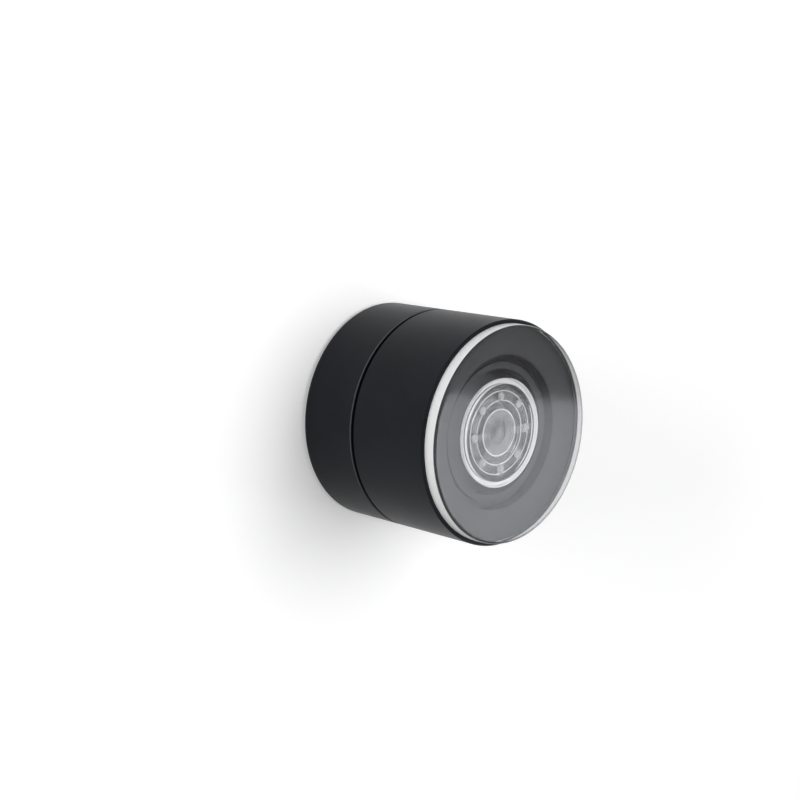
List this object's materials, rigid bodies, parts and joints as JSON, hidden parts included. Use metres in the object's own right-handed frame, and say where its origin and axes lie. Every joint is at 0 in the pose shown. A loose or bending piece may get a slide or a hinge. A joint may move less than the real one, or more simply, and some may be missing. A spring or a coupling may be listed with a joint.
{
  "type": "suction cup phone holder",
  "caption": "Short drum that holds a phone by a magnetic face and fixes to a smooth surface with a clear suction cup, drawn back by a twist of its barrel",
  "frame": {"origin": "Centre of the phone face, the soft disc that the holder stands on.", "axes": "+Z runs from the phone face to the suction face along the axis of the drum. +X and +Y lie in the phone face, and the drum is round, so they point no special way."},
  "size_m": [0.0594, 0.0594, 0.0479],
  "materials": {
    "shell_black": "satin moulded",
    "plate_black": "matt moulded",
    "grip_rubber": "soft matt",
    "magnet_nickel": "plated",
    "steel": "plain",
    "screw_black": "blackened",
    "slide_grey": "smooth moulded",
    "washer_black": "smooth",
    "support_dark": "fine matt",
    "cup_clear": "clear gloss",
    "core_clear": "clear gloss"
  },
  "bodies": {
    "base": {"base_shell": "shell_black", "face_plate": "plate_black", "face_screws": "steel", "grip_pad": "grip_rubber", "magnet_segments": "magnet_nickel", "shield_ring": "steel", "cam_sleeve": "slide_grey", "sleeve_screws": "steel", "thrust_washer_rear": "washer_black", "thrust_washer_front": "washer_black", "retaining_clip": "steel"},
    "barrel": {"barrel": "shell_black", "support_plate": "support_dark", "support_screws": "steel", "suction_pad": "cup_clear"},
    "plunger": {"pull_core": "core_clear", "pull_post": "slide_grey", "follower_pins": "steel", "core_screw": "screw_black", "core_washer": "screw_black"}
  },
  "joints": [
    {"name": "twist", "type": "hinge", "parent": "base", "child": "barrel", "pos_m": [0, 0, 0], "axis": [0, 0, -1], "range_deg": [0, 90]},
    {"name": "draw", "type": "slide", "parent": "barrel", "child": "plunger", "axis": [0, 0, -1], "range_m": [0, 0.003], "deforming": ["suction_pad"]}
  ],
  "couplings": [
    {"joint": "draw", "follows": "twist", "m_per_rad": 0.0019098}
  ]
}
